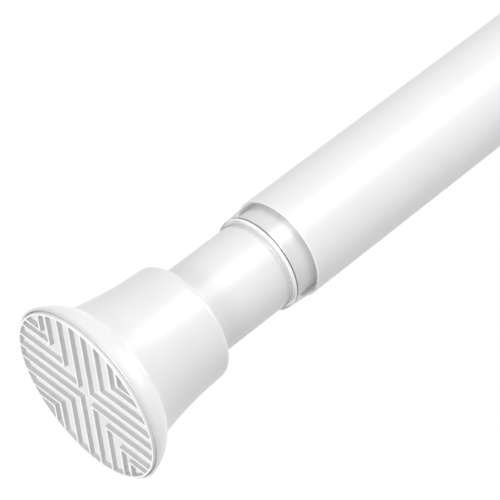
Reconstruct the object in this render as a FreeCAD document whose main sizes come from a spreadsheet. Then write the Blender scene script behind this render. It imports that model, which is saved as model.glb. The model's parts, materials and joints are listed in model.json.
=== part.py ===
import FreeCAD, Part
import math
import os
import Sketcher
from FreeCAD import Vector, Placement, Rotation

# A spring tension rod, as wedged between two walls: a slim inner tube slides in a wider outer
# tube, each ends in a bell-shaped foot with a treaded rubber pad, and a twist lock with a
# spring cartridge sits inside. The rod lies along X. X = 0 is the wall face of the pad on the
# inner tube's foot, and Z is up. All sizes are in millimetres.

sizes = {
    # Whole rod, closed: wall face to wall face, and where the outer tube's mouth stands.
    "free_length": 417.0,
    "mouth_at": 50.9,
    # Tubes.
    "inner_radius": 9.5,
    "tube_step": 1.5,
    "wall_of_tube": 0.5,
    "mouth_bevel": 0.2,
    # Foot: a cupped rim, a domed flange, a waisted bell and a rounded shoulder round the tube.
    # The dome, the waist and the shoulder are each drawn as a few bands of a curve.
    "foot_depth": 26.0,
    "rim_at": 0.7,
    "rim_radius": 18.95,
    "rim_wall": 0.45,
    "dome_front_step": 2.2,
    "dome_middle_step": 1.9,
    "dome_back_step": 1.7,
    "dome_front_drop": 0.65,
    "dome_middle_drop": 1.95,
    "dome_back_drop": 4.05,
    "waist_step": 6.5,
    "waist_rise": 2.62,
    "shoulder_depth": 1.7,
    "shoulder_rise": 1.65,
    "shoulder_turn_depth": 0.45,
    "shoulder_turn_rise": 1.1,
    "narrow_lip": 1.45,
    "wide_lip": 0.45,
    "socket_play": 0.03,
    # Pad: a rubber disc with a thin raised ring round nested L-shaped ridges.
    "tread_height": 1.05,
    "pad_web": 1.0,
    "pad_play": 0.2,
    "ring_width": 0.5,
    "ring_sink": 0.1,
    "ridge_half": 0.3,
    "ridge_root": 0.2,
    "first_ridge": 1.6,
    "second_step": 3.33,
    "third_step": 3.37,
    "fourth_step": 2.5,
    # Foot screw, and the plug that it bites into.
    "screw_head_radius": 3.7,
    "screw_head_height": 2.0,
    "screw_radius": 1.9,
    "screw_length": 9.0,
    "head_play": 0.5,
    "hole_play": 0.3,
    "pilot_play": 0.05,
    "seat_depth": 3.55,
    "socket_web": 1.8,
    "plug_play": 0.03,
    "plug_length": 10.0,
    # Spring cartridge in the inner tube: anchor, coil and seat.
    "anchor_length": 15.0,
    "spring_length": 96.5,
    "spring_wire": 0.8,
    "spring_turns": 11,
    "end_turn_gap": 0.15,
    "coil_play": 1.3,
    "nose_play": 0.8,
    "nose_length": 6.0,
    "spring_play": 0.05,
    "seat_thick": 3.4,
    "seat_side_play": 0.3,
    "seat_play": 0.05,
    # Spindle: a stepped neck, a stop, a six-sided shank, a thrust flange and a threaded end.
    "neck_length": 9.0,
    "neck_radius": 2.5,
    "stop_radius": 6.4,
    "stop_length": 2.4,
    "stop_gap": 0.1,
    "hex_flat_half": 4.5,
    "hex_overlap": 0.5,
    "core_drop": 0.3,
    "spring_stroke": 18.6,
    "flange_radius": 7.0,
    "flange_thick": 2.0,
    "thread_radius": 4.0,
    "thread_past": 4.0,
    # Guide bush, pressed into the inner tube's end, with a flange that runs in the outer tube.
    "bush_depth": 18.6,
    "bush_flange": 3.0,
    "hex_play": 0.08,
    "slide_play": 0.08,
    # Twist lock: thrust washer, split sleeve, wedge nut and the screw that keeps them on.
    "washer_thick": 1.0,
    "washer_rim": 3.2,
    "thread_play": 0.1,
    "sleeve_gap": 0.1,
    "sleeve_length": 31.3,
    "sleeve_web": 3.3,
    "sleeve_wall": 2.42,
    "sleeve_tip": 0.82,
    "taper_length": 9.0,
    "slit_from": 6.3,
    "slit_half": 0.9,
    "cut_past": 1.0,
    "wedge_set_back": 1.5,
    "wedge_sink": 0.6,
    "wedge_small_rise": 0.12,
    "wedge_large_drop": 0.25,
    "wedge_play": 0.08,
    "key_set_back": 1.0,
    "key_play": 0.12,
    "key_drop": 0.32,
    "key_root": 1.5,
    "end_head_rim": 1.0,
    "end_head_height": 1.8,
    "end_shank": 1.5,
    "end_shank_length": 9.0,
    "tap_play": 0.1,
    "tap_spare": 1.0,
    "end_room": 2.8,
    # Clear collar in the outer tube's mouth: a lip, a fine groove, a skirt and a spigot.
    "collar_reach": 6.55,
    "collar_spigot": 8.1,
    "collar_nose": 0.25,
    "collar_bead_start": 0.55,
    "collar_bead": 0.6,
    "collar_groove": 0.17,
    "collar_skirt_start": 0.18,
    "collar_lip_rise": 0.25,
    "collar_nose_rise": 0.55,
    "collar_bead_rise": 0.8,
    "collar_groove_rise": 0.62,
    "collar_skirt_rise": 0.88,
    "collar_root_drop": 0.26,
    "spigot_play": 0.04,
}

# A hexagon's corners stand this many times as far out as its flats.
HEXAGON_CORNER = 1.1547

# The tread's ridges, the sleeve's slits and the nut's keys each stand in this many places.
PLACES_ROUND = 4

# How finely the coil is drawn: straight steps in each turn, and sides round its wire.
TURN_STEPS = 12
WIRE_SIDES = 6

doc = FreeCAD.newDocument("tension_rod")
sheet = doc.addObject("Spreadsheet::Sheet", "Sizes")
for row, (alias, value) in enumerate(sizes.items(), 1):
    sheet.set("A%d" % row, alias)
    sheet.set("B%d" % row, str(value))
    sheet.setAlias("B%d" % row, alias)
doc.recompute()

# Radii of what stands in the tubes, as sums of the sizes above.
OUTER_RADIUS = "inner_radius + tube_step"
INNER_BORE = "inner_radius - wall_of_tube"
OUTER_BORE = OUTER_RADIUS + " - wall_of_tube"
LOCK_RADIUS = OUTER_BORE + " - slide_play"
COIL_RADIUS = INNER_BORE + " - coil_play - spring_wire"
NOSE_RADIUS = COIL_RADIUS + " - spring_wire - nose_play"

# Depths in a foot, from its wall face.
CUP_FLOOR = "tread_height + pad_web"
SCREW_SEAT = CUP_FLOOR + " + seat_depth"
SOCKET_FLOOR = SCREW_SEAT + " + socket_web"
PLUG_END = SOCKET_FLOOR + " + plug_length"
PAD_RADIUS = "rim_radius - rim_wall - pad_play"

# Places along the rod. The lock stands just short of the far plug, and the cartridge follows it
# back to the spring's anchor.
HEAD_END = ("free_length - tread_height - pad_web - seat_depth - socket_web - plug_length"
            " - end_room")
THREAD_END = HEAD_END + " - end_head_height"
SLEEVE_END = THREAD_END + " - thread_past"
SLEEVE_START = SLEEVE_END + " - sleeve_length"
FLANGE_END = SLEEVE_START + " - sleeve_gap - washer_thick"
FLANGE_START = FLANGE_END + " - flange_thick"
BUSH_END = FLANGE_START + " - spring_stroke"
INNER_END = BUSH_END + " - bush_flange"
BUSH_START = INNER_END + " - bush_depth"
STOP_END = BUSH_START + " - stop_gap"
STOP_START = STOP_END + " - stop_length"
SEAT_FACE = STOP_START + " - seat_thick"
NECK_START = SEAT_FACE + " - neck_length"
ANCHOR_FACE = SEAT_FACE + " - spring_length"
ANCHOR_START = ANCHOR_FACE + " - anchor_length"
COLLAR_FRONT = "mouth_at - collar_reach"


def number(terms):
    """The value of a sum such as 'free_length - foot_depth', whose terms may be products."""
    total = 0.0
    for term in terms.replace("- ", "+ -").split("+ "):
        if term.strip():
            value = 1.0
            for factor in term.strip().split(" * "):
                name = factor.lstrip("-")
                value *= sizes[name] if name in sizes else float(name)
                value *= -1.0 if factor.startswith("-") else 1.0
            total += value
    return total


def bound(terms):
    """The same sum, written as an expression on the table of sizes."""
    words = []
    for word in terms.split():
        words.append("Sizes." + word if word in sizes else word)
    return " ".join(words)


def scaled(terms, factor):
    """The same sum, with each of its terms times a factor."""
    words = ["%s * %s" % (word, factor) if word in sizes else word for word in terms.split()]
    return " ".join(words)


def minus(terms):
    """The same sum with its sign changed."""
    flipped = {"+": "-", "-": "+"}
    return "- " + " ".join(flipped.get(word, word) for word in terms.split())


def new_body(label):
    body = doc.addObject("PartDesign::Body", label)
    body.Label = label
    return body


def origin_plane(body, role):
    for item in body.Origin.OriginFeatures:
        if item.Role == role:
            return item
    raise ValueError(role)


def new_sketch(body, name, role, offset=None):
    sketch = body.newObject("Sketcher::SketchObject", name)
    sketch.AttachmentSupport = [(origin_plane(body, role), "")]
    sketch.MapMode = "FlatFace"
    if offset:
        sketch.AttachmentOffset = Placement(Vector(0, 0, number(offset)), Rotation())
        sketch.setExpression("AttachmentOffset.Base.z", bound(offset))
    return sketch


def pin_value(sketch, kind, geo, pos, terms, name):
    """Holds one coordinate of a point to a named size, or to an axis when it is zero."""
    value = number(terms)
    if abs(value) < 1e-9:
        axis = -2 if kind == "DistanceX" else -1
        sketch.addConstraint(Sketcher.Constraint("PointOnObject", geo, pos, axis))
        return
    index = sketch.addConstraint(Sketcher.Constraint(kind, -1, 1, geo, pos, value))
    sketch.renameConstraint(index, name)
    sketch.setExpression("Constraints." + name, bound(terms))


def outline(sketch, corners):
    """A closed outline of straight edges, each corner held to its two named sizes."""
    points = [Vector(number(along), number(out), 0) for along, out in corners]
    edges = []
    for i, point in enumerate(points):
        after = points[(i + 1) % len(points)]
        edges.append(sketch.addGeometry(Part.LineSegment(point, after), False))
    for i, edge in enumerate(edges):
        after = edges[(i + 1) % len(edges)]
        sketch.addConstraint(Sketcher.Constraint("Coincident", edge, 2, after, 1))
    for i, (along, out) in enumerate(corners):
        pin_value(sketch, "DistanceX", edges[i], 1, along, "x%d" % i)
        pin_value(sketch, "DistanceY", edges[i], 1, out, "y%d" % i)


def turned(body, name, corners):
    """A solid of revolution about the rod's axis, from an outline of (along, radius) corners."""
    sketch = new_sketch(body, name + "_outline", "XY_Plane")
    outline(sketch, corners)
    doc.recompute()
    feature = body.newObject("PartDesign::Revolution", name)
    feature.Profile = sketch
    feature.ReferenceAxis = (sketch, ["H_Axis"])
    feature.Angle = 360
    doc.recompute()


def extruded(body, kind, name, sketch, depth, reverse):
    feature = body.newObject("PartDesign::" + kind, name)
    feature.Profile = sketch
    feature.Length = number(depth)
    feature.setExpression("Length", bound(depth))
    feature.Reversed = reverse
    doc.recompute()
    return feature


def around(body, name, feature):
    """Repeats a feature evenly round the rod's axis."""
    pattern = body.newObject("PartDesign::PolarPattern", name)
    pattern.Originals = [feature]
    pattern.Axis = (origin_plane(body, "X_Axis"), [""])
    pattern.Angle = 360
    pattern.Occurrences = PLACES_ROUND
    body.Tip = pattern
    doc.recompute()


def hexagon(sketch, flat_half):
    """A hexagon with flats above and below, flat_half from the centre."""
    corner = scaled(flat_half, HEXAGON_CORNER)
    corner_half = scaled(flat_half, HEXAGON_CORNER / 2)
    outline(sketch, [
        (corner, "0"),
        (corner_half, flat_half),
        (minus(corner_half), flat_half),
        (minus(corner), "0"),
        (minus(corner_half), minus(flat_half)),
        (corner_half, minus(flat_half)),
    ])


def turn_to_far_end(body):
    """Puts a piece drawn from the near wall face at the far wall face, looking back."""
    body.Placement = Placement(Vector(number("free_length"), 0, 0), Rotation(Vector(0, 0, 1), 180))
    body.setExpression("Placement.Base.x", bound("free_length"))


def tread_ridge(sketch, ring, near, tag):
    """An L-shaped ridge. Its two arms end on the ring's circle, so they run into the raised ring."""
    far = near + " + ridge_half + ridge_half"
    reach = number(PAD_RADIUS + " - ring_sink")
    low = number(near)
    high = number(far)
    arm = math.sqrt(reach * reach - high * high)
    corners = [(low, low), (arm, low), (arm, high), (high, high), (high, arm), (low, arm)]
    points = [Vector(y, z, 0) for y, z in corners]
    edges = []
    for i, point in enumerate(points):
        after = points[(i + 1) % len(points)]
        edges.append(sketch.addGeometry(Part.LineSegment(point, after), False))
    for i, edge in enumerate(edges):
        after = edges[(i + 1) % len(edges)]
        sketch.addConstraint(Sketcher.Constraint("Coincident", edge, 2, after, 1))
        flat = "Horizontal" if i % 2 == 0 else "Vertical"
        sketch.addConstraint(Sketcher.Constraint(flat, edge))
    for corner, terms in ((0, near), (3, far)):
        pin_value(sketch, "DistanceX", edges[corner], 1, terms, "%sx%d" % (tag, corner))
        pin_value(sketch, "DistanceY", edges[corner], 1, terms, "%sy%d" % (tag, corner))
    for corner in (2, 4):
        sketch.addConstraint(Sketcher.Constraint("PointOnObject", edges[corner], 1, ring))


def make_pad(label):
    body = new_body(label)
    ring_inside = PAD_RADIUS + " - ring_width"
    turned(body, label + "_disc", [
        ("tread_height", "0"),
        ("tread_height", ring_inside),
        ("0", ring_inside),
        ("0", PAD_RADIUS),
        (CUP_FLOOR, PAD_RADIUS),
        (CUP_FLOOR, "0"),
    ])
    sketch = new_sketch(body, label + "_ridge_plan", "YZ_Plane")
    reach = PAD_RADIUS + " - ring_sink"
    circle = Part.Circle(Vector(0, 0, 0), Vector(0, 0, 1), number(reach))
    ring = sketch.addGeometry(circle, True)
    sketch.addConstraint(Sketcher.Constraint("Coincident", ring, 3, -1, 1))
    index = sketch.addConstraint(Sketcher.Constraint("Radius", ring, number(reach)))
    sketch.renameConstraint(index, "reach")
    sketch.setExpression("Constraints.reach", bound(reach))
    place = "first_ridge - ridge_half"
    tread_ridge(sketch, ring, place, "first")
    for step in ("second", "third", "fourth"):
        place += " + %s_step" % step
        tread_ridge(sketch, ring, place, step)
    doc.recompute()
    ridges = extruded(body, "Pad", label + "_ridges", sketch, "tread_height + ridge_root", False)
    around(body, label + "_tread", ridges)
    return body


def make_foot(label, tube_radius, rear):
    """A foot's moulding. Its rear face runs from the tube out to the rear radius."""
    body = new_body(label)
    socket = tube_radius + " + socket_play"
    cup_radius = "rim_radius - rim_wall"
    hole = "screw_radius + hole_play"
    head_room = "screw_head_radius + head_play"
    dome_front = "rim_at + dome_front_step"
    dome_middle = dome_front + " + dome_middle_step"
    dome_back = dome_middle + " + dome_back_step"
    turned(body, label + "_shell", [
        ("rim_at", cup_radius),
        ("rim_at", "rim_radius"),
        (dome_front, "rim_radius - dome_front_drop"),
        (dome_middle, "rim_radius - dome_middle_drop"),
        (dome_back, "rim_radius - dome_back_drop"),
        (dome_back + " + waist_step", OUTER_RADIUS + " + waist_rise"),
        ("foot_depth - shoulder_depth", OUTER_RADIUS + " + shoulder_rise"),
        ("foot_depth - shoulder_turn_depth", OUTER_RADIUS + " + shoulder_turn_rise"),
        ("foot_depth", rear),
        ("foot_depth", socket),
        (SOCKET_FLOOR, socket),
        (SOCKET_FLOOR, hole),
        (SCREW_SEAT, hole),
        (SCREW_SEAT, head_room),
        (CUP_FLOOR, head_room),
        (CUP_FLOOR, cup_radius),
    ])
    return body


def make_foot_screw(label):
    body = new_body(label)
    tip = SCREW_SEAT + " + screw_length"
    turned(body, label + "_blank", [
        (SCREW_SEAT + " - screw_head_height", "0"),
        (SCREW_SEAT + " - screw_head_height", "screw_head_radius"),
        (SCREW_SEAT, "screw_head_radius"),
        (SCREW_SEAT, "screw_radius"),
        (tip, "screw_radius"),
        (tip, "0"),
    ])
    return body


def make_plug(label, bore):
    """A turned plug in a tube's end, with a pilot hole for the foot's screw."""
    body = new_body(label)
    radius = bore + " - plug_play"
    turned(body, label + "_blank", [
        (SOCKET_FLOOR, "screw_radius + pilot_play"),
        (SOCKET_FLOOR, radius),
        (PLUG_END, radius),
        (PLUG_END, "screw_radius + pilot_play"),
    ])
    return body


def make_inner_tube():
    body = new_body("inner_tube")
    turned(body, "inner_tube_wall", [
        (SOCKET_FLOOR, INNER_BORE),
        (SOCKET_FLOOR, "inner_radius"),
        (INNER_END, "inner_radius"),
        (INNER_END, INNER_BORE),
    ])
    return body


def make_outer_tube():
    body = new_body("outer_tube")
    far_end = "free_length - tread_height - pad_web - seat_depth - socket_web"
    turned(body, "outer_tube_wall", [
        ("mouth_at", OUTER_BORE),
        ("mouth_at", OUTER_RADIUS + " - mouth_bevel"),
        ("mouth_at + mouth_bevel", OUTER_RADIUS),
        (far_end, OUTER_RADIUS),
        (far_end, OUTER_BORE),
    ])
    return body


def make_collar():
    body = new_body("clear_collar")
    bore = "inner_radius + slide_play"
    spigot = OUTER_BORE + " - spigot_play"
    nose = COLLAR_FRONT + " + collar_nose"
    bead_start = nose + " + collar_bead_start"
    bead_end = bead_start + " + collar_bead"
    groove = bead_end + " + collar_groove"
    turned(body, "clear_collar_ring", [
        (COLLAR_FRONT, bore),
        (COLLAR_FRONT, "inner_radius + collar_lip_rise"),
        (nose, "inner_radius + collar_nose_rise"),
        (bead_start, "inner_radius + collar_bead_rise"),
        (bead_end, "inner_radius + collar_bead_rise"),
        (groove, "inner_radius + collar_groove_rise"),
        (groove + " + collar_skirt_start", "inner_radius + collar_skirt_rise"),
        ("mouth_at", OUTER_RADIUS + " - collar_root_drop"),
        ("mouth_at", spigot),
        ("mouth_at + collar_spigot", spigot),
        ("mouth_at + collar_spigot", bore),
    ])
    return body


def make_spring_anchor():
    body = new_body("spring_anchor")
    radius = INNER_BORE + " - plug_play"
    nose = ANCHOR_FACE + " + nose_length"
    turned(body, "spring_anchor_blank", [
        (ANCHOR_START, "0"),
        (ANCHOR_START, radius),
        (ANCHOR_FACE, radius),
        (ANCHOR_FACE, NOSE_RADIUS),
        (nose, NOSE_RADIUS),
        (nose, "0"),
    ])
    return body


def spring_path():
    """The coil's centre line, in short straight steps, with a closed turn at each end."""
    turns = int(number("spring_turns"))
    start = number(ANCHOR_FACE + " + spring_wire + spring_play")
    end = number(SEAT_FACE + " - spring_wire - spring_play")
    closed = number("spring_wire + spring_wire + end_turn_gap")
    pitch = (end - start - 2 * closed) / (turns - 2)
    radius = number(COIL_RADIUS)
    points = []
    along = start
    for step in range(turns * TURN_STEPS + 1):
        angle = 2 * math.pi * step / TURN_STEPS
        points.append(Vector(along, radius * math.cos(angle), radius * math.sin(angle)))
        at_an_end = step < TURN_STEPS or step >= (turns - 1) * TURN_STEPS
        along += (closed if at_an_end else pitch) / TURN_STEPS
    return points


def make_spring():
    """A coil of round wire. Its turns and its wire are drawn with few sides, as it is sealed in."""
    points = spring_path()
    path = doc.addObject("Part::Feature", "spring_centre_line")
    path.Shape = Part.makePolygon(points)
    heading = points[1].sub(points[0]).normalize()
    across = Vector(0, 1, 0)
    across = across.sub(Vector(heading).multiply(across.dot(heading))).normalize()
    beside = heading.cross(across)
    ring = []
    for side in range(WIRE_SIDES + 1):
        angle = 2 * math.pi * side / WIRE_SIDES
        offset = Vector(across).multiply(number("spring_wire") * math.cos(angle))
        offset = offset.add(Vector(beside).multiply(number("spring_wire") * math.sin(angle)))
        ring.append(points[0].add(offset))
    section = doc.addObject("Part::Feature", "spring_wire_section")
    section.Shape = Part.makePolygon(ring)
    coil = doc.addObject("Part::Sweep", "compression_spring")
    coil.Label = "compression_spring"
    coil.Sections = [section]
    coil.Spine = (path, ["Edge%d" % (i + 1) for i in range(len(points) - 1)])
    coil.Solid = True
    coil.Transition = "Right corner"
    doc.recompute()
    return coil


def make_spring_seat():
    body = new_body("spring_seat")
    nose = SEAT_FACE + " - nose_length"
    rim = INNER_BORE + " - seat_side_play"
    eye = "neck_radius + seat_play"
    turned(body, "spring_seat_blank", [
        (nose, eye),
        (nose, NOSE_RADIUS),
        (SEAT_FACE, NOSE_RADIUS),
        (SEAT_FACE, rim),
        (STOP_START, rim),
        (STOP_START, eye),
    ])
    return body


def make_spindle():
    body = new_body("spindle")
    core = "hex_flat_half - core_drop"
    tap = "end_shank + tap_play"
    tap_floor = THREAD_END + " - end_shank_length - tap_spare"
    turned(body, "spindle_blank", [
        (NECK_START, "0"),
        (NECK_START, "neck_radius"),
        (STOP_START, "neck_radius"),
        (STOP_START, "stop_radius"),
        (STOP_END, "stop_radius"),
        (STOP_END, core),
        (FLANGE_START, core),
        (FLANGE_START, "flange_radius"),
        (FLANGE_END, "flange_radius"),
        (FLANGE_END, "thread_radius"),
        (THREAD_END, "thread_radius"),
        (THREAD_END, tap),
        (tap_floor, tap),
        (tap_floor, "0"),
    ])
    sketch = new_sketch(body, "spindle_hex_plan", "YZ_Plane", STOP_END + " - hex_overlap")
    hexagon(sketch, "hex_flat_half")
    doc.recompute()
    shank = "hex_overlap + stop_gap + bush_depth + bush_flange + spring_stroke + hex_overlap"
    extruded(body, "Pad", "spindle_hex", sketch, shank, False)
    return body


def make_guide_bush():
    body = new_body("guide_bush")
    radius = INNER_BORE + " - plug_play"
    turned(body, "guide_bush_blank", [
        (BUSH_START, "0"),
        (BUSH_START, radius),
        (INNER_END, radius),
        (INNER_END, LOCK_RADIUS),
        (BUSH_END, LOCK_RADIUS),
        (BUSH_END, "0"),
    ])
    sketch = new_sketch(body, "guide_bush_hex_plan", "YZ_Plane", BUSH_START + " - cut_past")
    hexagon(sketch, "hex_flat_half + hex_play")
    doc.recompute()
    depth = "cut_past + bush_depth + bush_flange + cut_past"
    extruded(body, "Pocket", "guide_bush_hex", sketch, depth, True)
    return body


def make_thrust_washer():
    body = new_body("thrust_washer")
    back = FLANGE_END + " + washer_thick"
    turned(body, "thrust_washer_disc", [
        (FLANGE_END, "thread_radius + thread_play"),
        (FLANGE_END, "thread_radius + washer_rim"),
        (back, "thread_radius + washer_rim"),
        (back, "thread_radius + thread_play"),
    ])
    return body


def make_expander_sleeve():
    body = new_body("expander_sleeve")
    inside = LOCK_RADIUS + " - sleeve_wall"
    eye = "thread_radius + thread_play"
    web = SLEEVE_START + " + sleeve_web"
    turned(body, "expander_sleeve_blank", [
        (SLEEVE_START, eye),
        (SLEEVE_START, LOCK_RADIUS),
        (SLEEVE_END, LOCK_RADIUS),
        (SLEEVE_END, LOCK_RADIUS + " - sleeve_tip"),
        (SLEEVE_END + " - taper_length", inside),
        (web, inside),
        (web, eye),
    ])
    sketch = new_sketch(body, "expander_slit_plan", "YZ_Plane", SLEEVE_START + " + slit_from")
    outside = LOCK_RADIUS + " + cut_past"
    outline(sketch, [
        (minus("slit_half"), eye), ("slit_half", eye),
        ("slit_half", outside), (minus("slit_half"), outside),
    ])
    doc.recompute()
    depth = "sleeve_length - slit_from + cut_past"
    slit = extruded(body, "Pocket", "expander_slit", sketch, depth, True)
    around(body, "expander_slits", slit)
    return body


def make_wedge_nut():
    body = new_body("wedge_nut")
    start = SLEEVE_END + " - taper_length + wedge_set_back"
    end = SLEEVE_END + " - wedge_sink"
    bore = "thread_radius + wedge_play"
    small = LOCK_RADIUS + " - sleeve_wall + wedge_small_rise"
    turned(body, "wedge_nut_cone", [
        (start, bore),
        (start, small),
        (end, LOCK_RADIUS + " - sleeve_tip - wedge_large_drop"),
        (end, bore),
    ])
    sketch = new_sketch(body, "wedge_key_plan", "YZ_Plane", start + " + key_set_back")
    half = "slit_half - key_play"
    root = small + " - key_root"
    crest = LOCK_RADIUS + " - key_drop"
    outline(sketch, [
        (minus(half), root), (half, root), (half, crest), (minus(half), crest),
    ])
    doc.recompute()
    length = "taper_length - wedge_set_back - wedge_sink - key_set_back"
    key = extruded(body, "Pad", "wedge_key", sketch, length, False)
    around(body, "wedge_keys", key)
    return body


def make_end_screw():
    body = new_body("end_screw")
    tip = THREAD_END + " - end_shank_length"
    head_radius = "thread_radius + end_head_rim"
    turned(body, "end_screw_blank", [
        (tip, "0"),
        (tip, "end_shank"),
        (THREAD_END, "end_shank"),
        (THREAD_END, head_radius),
        (HEAD_END, head_radius),
        (HEAD_END, "0"),
    ])
    return body


pieces = [
    make_pad("inner_pad"),
    make_foot("inner_foot", "inner_radius", "inner_radius + narrow_lip"),
    make_foot_screw("inner_foot_screw"),
    make_plug("inner_tube_plug", INNER_BORE),
    make_inner_tube(),
    make_spring_anchor(),
    make_spring(),
    make_spring_seat(),
    make_spindle(),
    make_guide_bush(),
    make_thrust_washer(),
    make_expander_sleeve(),
    make_wedge_nut(),
    make_end_screw(),
    make_collar(),
    make_outer_tube(),
    make_pad("outer_pad"),
    make_foot("outer_foot", OUTER_RADIUS, OUTER_RADIUS + " + wide_lip"),
    make_foot_screw("outer_foot_screw"),
    make_plug("outer_tube_plug", OUTER_BORE),
]
for piece in pieces[-4:]:
    turn_to_far_end(piece)
doc.recompute()

for item in doc.Objects:
    if "Invalid" in item.State or "Error" in item.State:
        raise ValueError("%s is %s" % (item.Label, item.State))
os.makedirs("parts", exist_ok=True)
for piece in pieces:
    shape = piece.Shape
    if shape.isNull() or not shape.isValid() or len(shape.Solids) != 1:
        raise ValueError("%s is not one valid solid" % piece.Label)
    shape.exportStep("parts/%s.step" % piece.Label)
    box = shape.BoundBox
    print("%-20s %9.1f mm3  x %7.2f to %7.2f  r %5.2f" % (
        piece.Label, shape.Volume, box.XMin, box.XMax, box.YMax))
print("pieces", len(pieces))
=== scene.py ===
import bmesh
import bpy
import json
import math
from mathutils import Matrix, Vector


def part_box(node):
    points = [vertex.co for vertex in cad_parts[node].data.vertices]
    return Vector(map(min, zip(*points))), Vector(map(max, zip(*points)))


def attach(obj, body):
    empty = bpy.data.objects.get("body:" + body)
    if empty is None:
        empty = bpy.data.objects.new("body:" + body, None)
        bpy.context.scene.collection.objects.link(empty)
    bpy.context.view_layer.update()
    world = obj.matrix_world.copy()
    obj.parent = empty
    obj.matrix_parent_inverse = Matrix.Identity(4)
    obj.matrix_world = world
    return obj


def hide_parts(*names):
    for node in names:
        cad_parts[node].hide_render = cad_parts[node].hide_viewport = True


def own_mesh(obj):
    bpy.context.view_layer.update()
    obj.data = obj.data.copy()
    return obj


# The looks of a spring tension rod: smooth moulded feet, treaded pads, coated tubes and a clear collar.
# The rod lies along X, X = 0 is the wall face of the pad that faces the camera, and Z is up. Metres.

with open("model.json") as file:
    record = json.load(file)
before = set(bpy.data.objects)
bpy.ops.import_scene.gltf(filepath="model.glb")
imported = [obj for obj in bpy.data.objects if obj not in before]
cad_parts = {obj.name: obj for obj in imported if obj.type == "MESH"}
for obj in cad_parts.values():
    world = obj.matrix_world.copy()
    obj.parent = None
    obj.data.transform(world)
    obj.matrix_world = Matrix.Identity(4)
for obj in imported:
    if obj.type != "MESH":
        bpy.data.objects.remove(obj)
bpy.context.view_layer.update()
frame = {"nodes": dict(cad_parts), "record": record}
nodes = frame["nodes"]
MM = 0.001

# Driving sizes, read from the frame.
FOOT_LOW, FOOT_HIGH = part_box("inner_foot")
PAD_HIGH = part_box("inner_pad")[1]
TUBE_LOW, TUBE_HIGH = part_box("inner_tube")
SLEEVE_LOW, SLEEVE_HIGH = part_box("outer_tube")
COLLAR_LOW, COLLAR_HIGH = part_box("clear_collar")
SPRING_LOW, SPRING_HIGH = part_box("compression_spring")
FAR_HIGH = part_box("outer_foot")[1]

RIM_AT = FOOT_LOW.x
RIM_RADIUS = FOOT_HIGH.y
FOOT_END = FOOT_HIGH.x
INNER_RADIUS = TUBE_HIGH.y
OUTER_RADIUS = SLEEVE_HIGH.y
MOUTH_AT = SLEEVE_LOW.x
LIP_AT = COLLAR_LOW.x
SPIGOT_END = COLLAR_HIGH.x
CUP_FLOOR = PAD_HIGH.x
PAD_RADIUS = PAD_HIGH.y
SOCKET_FLOOR = TUBE_LOW.x
FULL_LENGTH = FAR_HIGH.x + RIM_AT

# Fine sizes of the feet and the pads. The last two are the outer radii of the feet's rear faces.
CUP_WALL = 0.45 * MM
SOCKET_WEB = 1.8 * MM
TREAD_HEIGHT = 1.05 * MM
NARROW_REAR = 10.87 * MM
WIDE_REAR = 11.4 * MM

# The ridges' middle lines, from the pad's centre, and their half widths at three depths.
RIDGE_MIDDLES = (1.6 * MM, 4.93 * MM, 8.3 * MM, 10.5 * MM)
RIDGE_LEVELS = (
    (TREAD_HEIGHT + 0.1 * MM, 0.31 * MM),
    (0.05 * MM, 0.21 * MM),
    (0.003 * MM, 0.16 * MM),
)

# How many sides the lathed pieces have, and the angle in degrees from which edges look sharp.
FOOT_SIDES = 128
PAD_SIDES = 192
COLLAR_SIDES = 160
SHARP = 24
COLLAR_SHARP = 30
COIL_SHARP = 50


# Shapes.

def arc(start, end, radius, side, steps):
    """Points after start up to end on an arc, its centre left (1) or right (-1) of the way there."""
    a, b = Vector(start), Vector(end)
    chord = b - a
    half = chord.length / 2
    left = Vector((-chord.y, chord.x)).normalized()
    centre = (a + b) / 2 + left * side * math.sqrt(radius * radius - half * half)
    from_angle = math.atan2(a.y - centre.y, a.x - centre.x)
    to_angle = math.atan2(b.y - centre.y, b.x - centre.x)
    sweep = (to_angle - from_angle) * side % (2 * math.pi) * side
    points = []
    for step in range(1, steps + 1):
        angle = from_angle + sweep * step / steps
        points.append((centre.x + radius * math.cos(angle), centre.y + radius * math.sin(angle)))
    return points


def keep_edges_sharp(obj, degrees):
    for face in obj.data.polygons:
        face.use_smooth = True
    obj.data.set_sharp_from_angle(angle=math.radians(degrees))


def placed(name, mesh):
    """A new object in the scene that shows this mesh."""
    obj = bpy.data.objects.new(name, mesh)
    bpy.context.scene.collection.objects.link(obj)
    return obj


def lathe(name, outline, sides, sharp):
    """A closed ring turned about the rod's axis from a closed outline of (along, radius) points."""
    vertices = []
    for side in range(sides):
        angle = 2 * math.pi * side / sides
        for along, radius in outline:
            vertices.append((along, radius * math.cos(angle), radius * math.sin(angle)))
    count = len(outline)
    faces = []
    for side in range(sides):
        here = side * count
        there = (side + 1) % sides * count
        for i in range(count):
            j = (i + 1) % count
            faces.append((there + i, there + j, here + j, here + i))
    mesh = bpy.data.meshes.new(name)
    mesh.from_pydata(vertices, [], faces)
    obj = placed(name, mesh)
    keep_edges_sharp(obj, sharp)
    return obj


def turned_to_far_end(obj):
    """Moves a piece drawn from X = 0 to the far end, looking back."""
    obj.data.transform(Matrix.Translation((FULL_LENGTH, 0, 0)) @ Matrix.Rotation(math.pi, 4, "Z"))


def pad_outline():
    """Pad's section: a disc with a thin raised ring, both with soft edges."""
    soft_edge = 0.06 * MM
    ring_bevel = 0.05 * MM
    ring_root = PAD_RADIUS - 0.5 * MM
    ring_neck = PAD_RADIUS - 0.37 * MM
    ring_top = PAD_RADIUS - 0.32 * MM
    return [
        (soft_edge, PAD_RADIUS),
        (CUP_FLOOR, PAD_RADIUS),
        (CUP_FLOOR, 0),
        (TREAD_HEIGHT, 0),
        (TREAD_HEIGHT, ring_root),
        (ring_bevel, ring_neck),
        (0, ring_top),
        (0, PAD_RADIUS - soft_edge),
    ]


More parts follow.
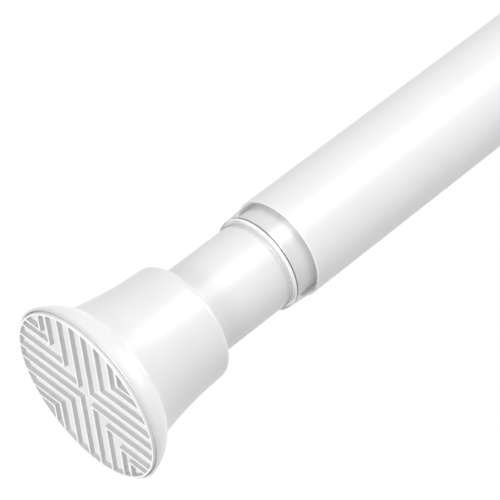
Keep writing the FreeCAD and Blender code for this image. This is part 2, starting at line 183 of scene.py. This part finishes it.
def ridge_loop(drawn, turn, middle, depth, half):
    """An L-shaped ridge's corners at one depth, both arms ending on a circle inside the ring."""
    reach = PAD_RADIUS - 0.22 * MM
    near, far = middle - half, middle + half
    near_arm = math.sqrt(reach * reach - near * near)
    far_arm = math.sqrt(reach * reach - far * far)
    corners = ((near, near), (near_arm, near), (far_arm, far), (far, far), (far, far_arm), (near, near_arm))
    return [drawn.verts.new(turn @ Vector((depth, y, z))) for y, z in corners]


def tread_ridges(name):
    """Four nested L-shaped ridges in each quarter, narrower toward their tops."""
    drawn = bmesh.new()
    for quarter in range(4):
        turn = Matrix.Rotation(math.pi / 2 * quarter, 3, "X")
        for middle in RIDGE_MIDDLES:
            loops = [ridge_loop(drawn, turn, middle, depth, half) for depth, half in RIDGE_LEVELS]
            drawn.faces.new(loops[0])
            drawn.faces.new(reversed(loops[-1]))
            for low, high in zip(loops, loops[1:]):
                for i in range(len(low)):
                    j = (i + 1) % len(low)
                    drawn.faces.new((low[j], low[i], high[i], high[j]))
    bmesh.ops.recalc_face_normals(drawn, faces=drawn.faces)
    mesh = bpy.data.meshes.new(name)
    drawn.to_mesh(mesh)
    drawn.free()
    return placed(name, mesh)


def closed_disc(mesh):
    """Merges a lathed disc's points on the axis, and its flat faces into one each."""
    disc = bmesh.new()
    disc.from_mesh(mesh)
    bmesh.ops.remove_doubles(disc, verts=disc.verts, dist=0.0001 * MM)
    bmesh.ops.recalc_face_normals(disc, faces=disc.faces)
    bmesh.ops.dissolve_limit(disc, angle_limit=math.radians(0.1), verts=disc.verts, edges=disc.edges)
    disc.to_mesh(mesh)
    disc.free()


def without_slivers(mesh):
    """Merges what a boolean left closer together than a thousandth of a millimetre."""
    cleaned = bmesh.new()
    cleaned.from_mesh(mesh)
    bmesh.ops.remove_doubles(cleaned, verts=cleaned.verts, dist=0.001 * MM)
    bmesh.ops.dissolve_degenerate(cleaned, dist=0.001 * MM, edges=cleaned.edges)
    cleaned.to_mesh(mesh)
    cleaned.free()


def tread_pad(name):
    """A pad as one closed mesh, the disc and its ring joined with the ridges."""
    pad = lathe(name, pad_outline(), PAD_SIDES, SHARP)
    closed_disc(pad.data)
    ridges = tread_ridges(name + "_ridges")
    join = pad.modifiers.new("ridges", "BOOLEAN")
    join.operation = "UNION"
    join.solver = "EXACT"
    join.object = ridges
    seen = pad.evaluated_get(bpy.context.evaluated_depsgraph_get())
    joined = bpy.data.meshes.new_from_object(seen)
    without_slivers(joined)
    pad.modifiers.clear()
    pad.data = joined
    bpy.data.objects.remove(ridges)
    keep_edges_sharp(pad, SHARP)
    return pad


def foot_outline(tube_radius, rear_radius):
    """Foot's section: cupped rim, domed flange, crease, waisted bell, rounded shoulder, inside."""
    rim_bevel = 0.15 * MM
    cup_bevel = 0.1 * MM
    dome = 10 * MM
    brow_turn = 2.8 * MM
    waist = 90 * MM
    shoulder_turn = 1.8 * MM
    rim_edge = (RIM_AT + rim_bevel, RIM_RADIUS)
    brow = (RIM_AT + 5.2 * MM, RIM_RADIUS - 3.0 * MM)
    crease = (RIM_AT + 5.8 * MM, RIM_RADIUS - 4.05 * MM)
    shoulder = (FOOT_END - shoulder_turn, RIM_RADIUS - 6.28 * MM)
    rear = (FOOT_END, rear_radius)
    outside = [(RIM_AT, RIM_RADIUS - rim_bevel), rim_edge]
    outside += arc(rim_edge, brow, dome, -1, 18)
    outside += arc(brow, crease, brow_turn, -1, 6)
    outside += arc(crease, shoulder, waist, 1, 16)
    outside += arc(shoulder, rear, shoulder_turn, -1, 8)
    socket = tube_radius + 0.03 * MM
    hole = 2.2 * MM
    head_room = 4.2 * MM
    cup = RIM_RADIUS - CUP_WALL
    screw_seat = SOCKET_FLOOR - SOCKET_WEB
    inside = [
        (FOOT_END, socket),
        (SOCKET_FLOOR, socket),
        (SOCKET_FLOOR, hole),
        (screw_seat, hole),
        (screw_seat, head_room),
        (CUP_FLOOR, head_room),
        (CUP_FLOOR, cup),
        (RIM_AT + cup_bevel, cup),
        (RIM_AT, cup + cup_bevel),
    ]
    return outside + inside


def collar_outline():
    """Clear ring: rounded lip, fine groove, skirt that widens to the mouth, spigot in the tube."""
    bore = 9.58 * MM
    bevelled_bore = 9.6 * MM
    spigot = 10.46 * MM
    lip_turn = 0.95 * MM
    lip_crown = 2.0 * MM
    lip_start = (LIP_AT, 9.72 * MM)
    lip_top = (LIP_AT + lip_turn, 10.3 * MM)
    lip_end = (LIP_AT + 1.4 * MM, 10.28 * MM)
    lip = arc(lip_start, lip_top, lip_turn, -1, 10) + arc(lip_top, lip_end, lip_crown, -1, 3)
    groove = [
        (LIP_AT + 1.5 * MM, 10.14 * MM),
        (LIP_AT + 1.6 * MM, 10.12 * MM),
        (LIP_AT + 1.7 * MM, 10.2 * MM),
    ]
    skirt = [(LIP_AT + 1.85 * MM, 10.38 * MM), (MOUTH_AT, 10.74 * MM)]
    inside = [(MOUTH_AT, spigot), (SPIGOT_END, spigot), (SPIGOT_END, bore)]
    return [(LIP_AT, bevelled_bore), lip_start] + lip + groove + skirt + inside


def coil(name):
    """The spring's round wire, with a closed turn at each end."""
    turns = 11
    steps = 28
    wire = 0.8 * MM
    wire_sides = 10
    closed = 1.75 * MM
    radius = SPRING_HIGH.y - wire
    start = SPRING_LOW.x + wire
    end = SPRING_HIGH.x - wire
    pitch = (end - start - 2 * closed) / (turns - 2)
    along = start
    vertices = []
    for step in range(turns * steps + 1):
        angle = 2 * math.pi * step / steps
        outward = Vector((0, math.cos(angle), math.sin(angle)))
        centre = outward * radius + Vector((along, 0, 0))
        for side in range(wire_sides):
            turn = 2 * math.pi * side / wire_sides
            across = outward * wire * math.cos(turn)
            vertices.append(centre + across + Vector((wire * math.sin(turn), 0, 0)))
        at_an_end = step < steps or step >= (turns - 1) * steps
        along += (closed if at_an_end else pitch) / steps
    rings = turns * steps + 1
    faces = []
    for ring in range(rings - 1):
        for side in range(wire_sides):
            after = (side + 1) % wire_sides
            near = ring * wire_sides
            far = near + wire_sides
            faces.append((near + side, far + side, far + after, near + after))
    faces.append(tuple(range(wire_sides)))
    faces.append(tuple(reversed(range((rings - 1) * wire_sides, rings * wire_sides))))
    mesh = bpy.data.meshes.new(name)
    mesh.from_pydata(vertices, [], faces)
    obj = placed(name, mesh)
    keep_edges_sharp(obj, COIL_SHARP)
    return obj


# Materials.

def grey(level):
    return (level, level, level)


def new_material(name):
    material = bpy.data.materials.new(name)
    material.use_nodes = True
    return material, material.node_tree.nodes, material.node_tree.links


def along_rod(tree, links, where, stops):
    """A ramp on the distance from the nearer wall face, from (metres, level) stops."""
    start, end = stops[0][0], stops[-1][0]
    parts = tree.new("ShaderNodeSeparateXYZ")
    links.new(where.outputs["Object"], parts.inputs["Vector"])
    from_wall = tree.new("ShaderNodeMath")
    from_wall.operation = "PINGPONG"
    from_wall.inputs[1].default_value = FULL_LENGTH / 2
    links.new(parts.outputs["X"], from_wall.inputs[0])
    place = tree.new("ShaderNodeMapRange")
    place.inputs["From Min"].default_value = start
    place.inputs["From Max"].default_value = end
    links.new(from_wall.outputs["Value"], place.inputs["Value"])
    ramp = tree.new("ShaderNodeValToRGB")
    marks = ramp.color_ramp.elements
    while len(marks) < len(stops):
        marks.new(0.5)
    for mark, (at, level) in zip(marks, stops):
        mark.position = (at - start) / (end - start)
        mark.color = (*grey(level), 1)
    links.new(place.outputs["Result"], ramp.inputs["Fac"])
    return ramp.outputs["Color"]


def outside_of(tree, links, where, radius):
    """One where a surface is farther than this from the rod's axis, and zero nearer."""
    across = tree.new("ShaderNodeVectorMath")
    across.operation = "MULTIPLY"
    across.inputs[1].default_value = (0, 1, 1)
    links.new(where.outputs["Object"], across.inputs[0])
    distance = tree.new("ShaderNodeVectorMath")
    distance.operation = "LENGTH"
    links.new(across.outputs["Vector"], distance.inputs[0])
    farther = tree.new("ShaderNodeMath")
    farther.operation = "GREATER_THAN"
    farther.inputs[1].default_value = radius
    links.new(distance.outputs["Value"], farther.inputs[0])
    return farther.outputs["Value"]


def shaded(tree, links, where, colour, stops, until):
    """The colour with painted shade along the rod from stops, on all that is nearer its axis than until."""
    open_side = tree.new("ShaderNodeVectorMath")
    open_side.operation = "MAXIMUM"
    links.new(along_rod(tree, links, where, stops), open_side.inputs[0])
    links.new(outside_of(tree, links, where, until), open_side.inputs[1])
    shade = tree.new("ShaderNodeVectorMath")
    shade.operation = "MULTIPLY"
    links.new(colour, shade.inputs[0])
    links.new(open_side.outputs["Vector"], shade.inputs[1])
    return shade.outputs["Vector"]


def raised_by(tree, links, noise, strength, distance):
    """A bump's normal from a noise."""
    raised = tree.new("ShaderNodeBump")
    raised.inputs["Strength"].default_value = strength
    raised.inputs["Distance"].default_value = distance
    links.new(noise.outputs["Fac"], raised.inputs["Height"])
    return raised.outputs["Normal"]


def uneven_gloss(tree, links, noise, shader, smooth, rough):
    """Lets the shader's roughness follow a noise between two values."""
    gloss = tree.new("ShaderNodeMapRange")
    gloss.inputs["To Min"].default_value = smooth
    gloss.inputs["To Max"].default_value = rough
    links.new(noise.outputs["Fac"], gloss.inputs["Value"])
    links.new(gloss.outputs["Result"], shader.inputs["Roughness"])


def speckled(name, pale, dark, grain, roughness, spread, bump, bump_grain, stops=None, until=1, **sockets):
    """A plain surface with faint cloudy colour, uneven gloss and a fine bump, all procedural."""
    material, tree, links = new_material(name)
    shader = tree["Principled BSDF"]
    where = tree.new("ShaderNodeTexCoord")
    clouds = tree.new("ShaderNodeTexNoise")
    clouds.inputs["Scale"].default_value = grain
    clouds.inputs["Detail"].default_value = 4
    links.new(where.outputs["Object"], clouds.inputs["Vector"])
    ramp = tree.new("ShaderNodeValToRGB")
    ramp.color_ramp.elements[0].position = 0.3
    ramp.color_ramp.elements[0].color = (*dark, 1)
    ramp.color_ramp.elements[1].position = 0.7
    ramp.color_ramp.elements[1].color = (*pale, 1)
    links.new(clouds.outputs["Fac"], ramp.inputs["Fac"])
    colour = ramp.outputs["Color"]
    # Painted shade and painted light along the rod, where stops are given.
    if stops:
        colour = shaded(tree, links, where, colour, stops, until)
    links.new(colour, shader.inputs["Base Color"])
    uneven_gloss(tree, links, clouds, shader, roughness - spread, roughness + spread)
    fine = tree.new("ShaderNodeTexNoise")
    fine.inputs["Scale"].default_value = bump_grain
    fine.inputs["Detail"].default_value = 3
    links.new(where.outputs["Object"], fine.inputs["Vector"])
    links.new(raised_by(tree, links, fine, bump, 0.02 * MM), shader.inputs["Normal"])
    for socket, value in sockets.items():
        shader.inputs[socket.replace("_", " ")].default_value = value
    return material


def coated_steel():
    return speckled(
        "coated_steel", pale=grey(0.86), dark=grey(0.84), grain=90, roughness=0.34, spread=0.03,
        bump=0.15, bump_grain=2600, Specular_IOR_Level=0.5, Coat_Weight=0.4, Coat_Roughness=0.26)


def white_moulding():
    """Smooth plastic with painted shade on its thin rim edge beside the pad and painted light that makes
    its flange palest.
    """
    # Painted shade and painted light along the foot: darker toward the rim edge, paler than the base over
    # the flange.
    rim = [
        (RIM_AT, 0.72),
        (RIM_AT + 0.1 * MM, 0.78),
        (RIM_AT + 0.35 * MM, 0.97),
        (RIM_AT + 1.2 * MM, 1.06),
        (RIM_AT + 6 * MM, 1.06),
        (RIM_AT + 16 * MM, 1),
    ]
    return speckled(
        "white_moulding", pale=grey(0.86), dark=grey(0.845), grain=60, roughness=0.3, spread=0.04,
        bump=0.1, bump_grain=1800, stops=rim, Specular_IOR_Level=0.5, Coat_Weight=0.4, Coat_Roughness=0.26)


def tread_rubber():
    """White rubber with painted shade: palest on the ridge tops, greyer down their walls and on the groove
    floors.
    """
    # Painted shade in the grooves, by depth below the ridge tops; the pad's outer edge is left out of it.
    depth = [
        (0, 1),
        (0.05 * MM, 1),
        (0.12 * MM, 0.66),
        (0.95 * MM, 0.68),
        (1.03 * MM, 0.84),
        (CUP_FLOOR, 0.84),
    ]
    return speckled(
        "tread_rubber", pale=grey(0.95), dark=grey(0.91), grain=160, roughness=0.62, spread=0.06,
        bump=0.35, bump_grain=3200, stops=depth, until=PAD_RADIUS - 0.1 * MM, Specular_IOR_Level=0.35)


def dark_nylon():
    return speckled(
        "dark_nylon", pale=(0.05, 0.05, 0.055), dark=(0.035, 0.035, 0.04), grain=220, roughness=0.5,
        spread=0.06, bump=0.3, bump_grain=2600)


def pale_nylon():
    return speckled(
        "pale_nylon", pale=(0.72, 0.69, 0.6), dark=(0.66, 0.63, 0.54), grain=150, roughness=0.45,
        spread=0.05, bump=0.25, bump_grain=2400)


def plated_steel():
    return speckled(
        "plated_steel", pale=(0.62, 0.62, 0.6), dark=(0.5, 0.5, 0.49), grain=320, roughness=0.3,
        spread=0.08, bump=0.3, bump_grain=4200, Metallic=1.0)


def spring_steel():
    return speckled(
        "spring_steel", pale=(0.3, 0.3, 0.31), dark=(0.2, 0.2, 0.21), grain=420, roughness=0.36,
        spread=0.08, bump=0.4, bump_grain=5200, Metallic=1.0)


def clear_plastic():
    """Clear moulding with faint waves, a painted highlight that makes its thick lip opaque white, and
    painted shade that makes the fine groove behind it near black.
    """
    lip_body = LIP_AT + 0.85 * MM
    lip_end = LIP_AT + 1.38 * MM
    groove_start = LIP_AT + 1.45 * MM
    groove_end = LIP_AT + 1.7 * MM
    skirt_start = LIP_AT + 1.8 * MM
    material, tree, links = new_material("clear_plastic")
    shader = tree["Principled BSDF"]
    shader.inputs["IOR"].default_value = 1.49
    where = tree.new("ShaderNodeTexCoord")
    # Colour along the collar: slightly grey at the lip's front, painted highlight over the lip, painted
    # shade in the groove, light grey over the skirt.
    tint_painted_highlight_and_shade = along_rod(tree, links, where, [
        (LIP_AT, 0.85), (LIP_AT + 0.4 * MM, 0.95), (LIP_AT + 0.8 * MM, 1), (lip_end, 1),
        (groove_start, 0.06), (groove_end, 0.06), (skirt_start, 0.86), (SPIGOT_END, 0.86)])
    links.new(tint_painted_highlight_and_shade, shader.inputs["Base Color"])
    # Opacity along the collar, near opaque over the lip and the groove so their painted highlight and
    # painted shade show.
    cover = along_rod(tree, links, where, [
        (LIP_AT, 0.2), (LIP_AT + 0.6 * MM, 0.3), (lip_body, 0.95), (lip_end, 0.95),
        (groove_start, 0.75), (groove_end, 0.75), (skirt_start, 0.34), (SPIGOT_END, 0.34)])
    slant = tree.new("ShaderNodeLayerWeight")
    slant.inputs["Blend"].default_value = 0.5
    edge = tree.new("ShaderNodeMath")
    edge.operation = "POWER"
    edge.inputs[1].default_value = 2.2
    links.new(slant.outputs["Facing"], edge.inputs[0])
    covered = tree.new("ShaderNodeMath")
    covered.operation = "MAXIMUM"
    links.new(cover, covered.inputs[0])
    links.new(edge.outputs["Value"], covered.inputs[1])
    links.new(covered.outputs["Value"], shader.inputs["Alpha"])
    waves = tree.new("ShaderNodeTexNoise")
    waves.inputs["Scale"].default_value = 180
    links.new(where.outputs["Object"], waves.inputs["Vector"])
    uneven_gloss(tree, links, waves, shader, 0.08, 0.16)
    wavy = raised_by(tree, links, waves, 0.1, 0.05 * MM)
    links.new(wavy, shader.inputs["Normal"])
    sheen = tree.new("ShaderNodeBsdfGlossy")
    sheen.inputs["Roughness"].default_value = 0.26
    # Glossy strength along the collar, none in the groove so its painted shade stays dark.
    gleam = along_rod(tree, links, where, [
        (LIP_AT, 0.02), (lip_body, 0.04), (lip_end, 0.04), (groove_start, 0),
        (groove_end, 0), (skirt_start, 0.05), (SPIGOT_END, 0.05)])
    links.new(gleam, sheen.inputs["Color"])
    links.new(wavy, sheen.inputs["Normal"])
    both = tree.new("ShaderNodeAddShader")
    links.new(shader.outputs["BSDF"], both.inputs[0])
    links.new(sheen.outputs["BSDF"], both.inputs[1])
    links.new(both.outputs["Shader"], tree["Material Output"].inputs["Surface"])
    return material


makers = (
    coated_steel, white_moulding, tread_rubber, dark_nylon, pale_nylon, plated_steel, spring_steel,
    clear_plastic)
materials = {make.__name__: make() for make in makers}
slot_of = {part["node"]: part["material_slot"] for part in frame["record"]["subparts"]}


def dress(obj, slot_name):
    obj.data.materials.clear()
    obj.data.materials.append(materials[slot_name])


for node_name, node in nodes.items():
    dress(node, slot_of[node_name])


def add_piece(obj, body, node_name):
    """Puts a finished piece in place of a CAD node, on its body and with its material."""
    dress(obj, slot_of[node_name])
    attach(obj, body)
    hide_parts(node_name)


# Pieces that stand for CAD solids.
near_pad = tread_pad("inner_pad_tread")
add_piece(near_pad, "inner_side", "inner_pad")

far_pad = tread_pad("outer_pad_tread")
turned_to_far_end(far_pad)
add_piece(far_pad, "outer_side", "outer_pad")

near_outline = foot_outline(INNER_RADIUS, NARROW_REAR)
near_foot = lathe("inner_foot_moulding", near_outline, FOOT_SIDES, SHARP)
add_piece(near_foot, "inner_side", "inner_foot")

far_outline = foot_outline(OUTER_RADIUS, WIDE_REAR)
far_foot = lathe("outer_foot_moulding", far_outline, FOOT_SIDES, SHARP)
turned_to_far_end(far_foot)
add_piece(far_foot, "outer_side", "outer_foot")

collar = lathe("clear_collar_ring", collar_outline(), COLLAR_SIDES, COLLAR_SHARP)
add_piece(collar, "outer_side", "clear_collar")

spring = coil("spring_coil")
add_piece(spring, "inner_side", "compression_spring")
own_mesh(spring)


# Stage: a pale floor below the rod, white to the camera apart from the rod's soft shadow.

WHITE = (*grey(1), 1)
FLOOR_DROP = 120 * MM
FLOOR_REACH = 4.0


def seen_ray(tree, links):
    """One for what the camera sees, straight or in a reflection or through glass."""
    ray = tree.new("ShaderNodeLightPath")
    joined = ray.outputs["Is Camera Ray"]
    for flag in ("Is Glossy Ray", "Is Transmission Ray"):
        either = tree.new("ShaderNodeMath")
        either.operation = "MAXIMUM"
        links.new(joined, either.inputs[0])
        links.new(ray.outputs[flag], either.inputs[1])
        joined = either.outputs["Value"]
    return joined


def floor_material():
    """Pale to the camera and in reflections, with the rod's shadow, and grey where it lights the rod."""
    material, tree, links = new_material("stage_floor")
    lighting = tree["Principled BSDF"]
    lighting.inputs["Base Color"].default_value = (*grey(0.3), 1)
    lighting.inputs["Roughness"].default_value = 0.9
    pale = tree.new("ShaderNodeBsdfDiffuse")
    pale.inputs["Color"].default_value = (*grey(0.95), 1)
    white = tree.new("ShaderNodeEmission")
    white.inputs["Color"].default_value = WHITE
    white.inputs["Strength"].default_value = 1.06
    shown = tree.new("ShaderNodeMixShader")
    shown.inputs["Fac"].default_value = 0.7
    links.new(pale.outputs["BSDF"], shown.inputs[1])
    links.new(white.outputs["Emission"], shown.inputs[2])
    mix = tree.new("ShaderNodeMixShader")
    links.new(seen_ray(tree, links), mix.inputs["Fac"])
    links.new(lighting.outputs["BSDF"], mix.inputs[1])
    links.new(shown.outputs["Shader"], mix.inputs[2])
    links.new(mix.outputs["Shader"], tree["Material Output"].inputs["Surface"])
    return material


def make_floor():
    mesh = bpy.data.meshes.new("stage_floor")
    corners = [(-FLOOR_REACH, -FLOOR_REACH, 0), (FLOOR_REACH, -FLOOR_REACH, 0),
               (FLOOR_REACH, FLOOR_REACH, 0), (-FLOOR_REACH, FLOOR_REACH, 0)]
    mesh.from_pydata(corners, [], [(0, 1, 2, 3)])
    mesh.materials.append(floor_material())
    floor = placed("stage_floor", mesh)
    floor.location = (FULL_LENGTH / 2, 0, -FLOOR_DROP)
    return floor


floor = make_floor()


def make_world():
    """Soft studio light, brightest from above and a little to the camera's side, white to the camera."""
    world = bpy.data.worlds.new("studio")
    world.use_nodes = True
    tree, links = world.node_tree.nodes, world.node_tree.links
    light = tree["Background"]
    light.inputs["Color"].default_value = WHITE
    where = tree.new("ShaderNodeTexCoord")
    toward = tree.new("ShaderNodeVectorMath")
    toward.operation = "DOT_PRODUCT"
    toward.inputs[1].default_value = (0, -0.45, 0.9)
    links.new(where.outputs["Generated"], toward.inputs[0])
    height = tree.new("ShaderNodeMapRange")
    height.inputs["From Min"].default_value = -0.4
    height.inputs["From Max"].default_value = 1.0
    height.inputs["To Min"].default_value = 0.26
    height.inputs["To Max"].default_value = 0.69
    links.new(toward.outputs["Value"], height.inputs["Value"])
    links.new(height.outputs["Result"], light.inputs["Strength"])
    white = tree.new("ShaderNodeBackground")
    white.inputs["Color"].default_value = WHITE
    mix = tree.new("ShaderNodeMixShader")
    links.new(seen_ray(tree, links), mix.inputs["Fac"])
    links.new(light.outputs["Background"], mix.inputs[1])
    links.new(white.outputs["Background"], mix.inputs[2])
    links.new(mix.outputs["Shader"], tree["World Output"].inputs["Surface"])
    bpy.context.scene.world = world


make_world()


def area_lamp(name, place, target, size, power):
    data = bpy.data.lights.new(name, "AREA")
    data.shape = "SQUARE"
    data.size = size
    data.energy = power
    lamp = bpy.data.objects.new(name, data)
    lamp.location = place
    lamp.rotation_euler = (Vector(target) - Vector(place)).to_track_quat("-Z", "Y").to_euler()
    bpy.context.scene.collection.objects.link(lamp)


WALL_FACE = (0, 0, 0)
NEAR_TUBES = (0.06, 0, 0)
area_lamp("key", (0.56, -0.26, 0.85), NEAR_TUBES, 0.6, 3.85)
area_lamp("front", (-0.9, -0.15, 0.3), WALL_FACE, 0.6, 6.6)
area_lamp("rear", (1.3, -0.2, 0.15), NEAR_TUBES, 0.5, 3.6)


# Camera: stands up and to the left of the near foot, as the photograph's did. Its place, its angles
# and its focal length in the photograph's pixels were fitted to the round edges in the photograph.

CAMERA_PLACE = Vector((-161.454, -235.163, 316.672)) * MM
AZIMUTH = math.radians(-41.11)
ELEVATION = math.radians(44.94)
ROLL = math.radians(-5.56)
FOCAL_PIXELS = 2301
PHOTO_PIXELS = 500
SENSOR_WIDTH = 36


def make_camera():
    back = Vector((math.sin(AZIMUTH) * math.cos(ELEVATION), -math.cos(AZIMUTH) * math.cos(ELEVATION),
                   math.sin(ELEVATION)))
    level = Vector((math.cos(AZIMUTH), math.sin(AZIMUTH), 0))
    upright = back.cross(level)
    right = level * math.cos(ROLL) + upright * math.sin(ROLL)
    up = upright * math.cos(ROLL) - level * math.sin(ROLL)
    data = bpy.data.cameras.new("camera")
    data.sensor_width = SENSOR_WIDTH
    data.lens = SENSOR_WIDTH * FOCAL_PIXELS / PHOTO_PIXELS
    data.clip_start = 0.01
    camera = bpy.data.objects.new("camera", data)
    turn = Matrix((right, up, back)).transposed().to_4x4()
    camera.matrix_world = Matrix.Translation(CAMERA_PLACE) @ turn
    bpy.context.scene.collection.objects.link(camera)
    bpy.context.scene.camera = camera


make_camera()
bpy.context.scene.view_settings.view_transform = "Standard"
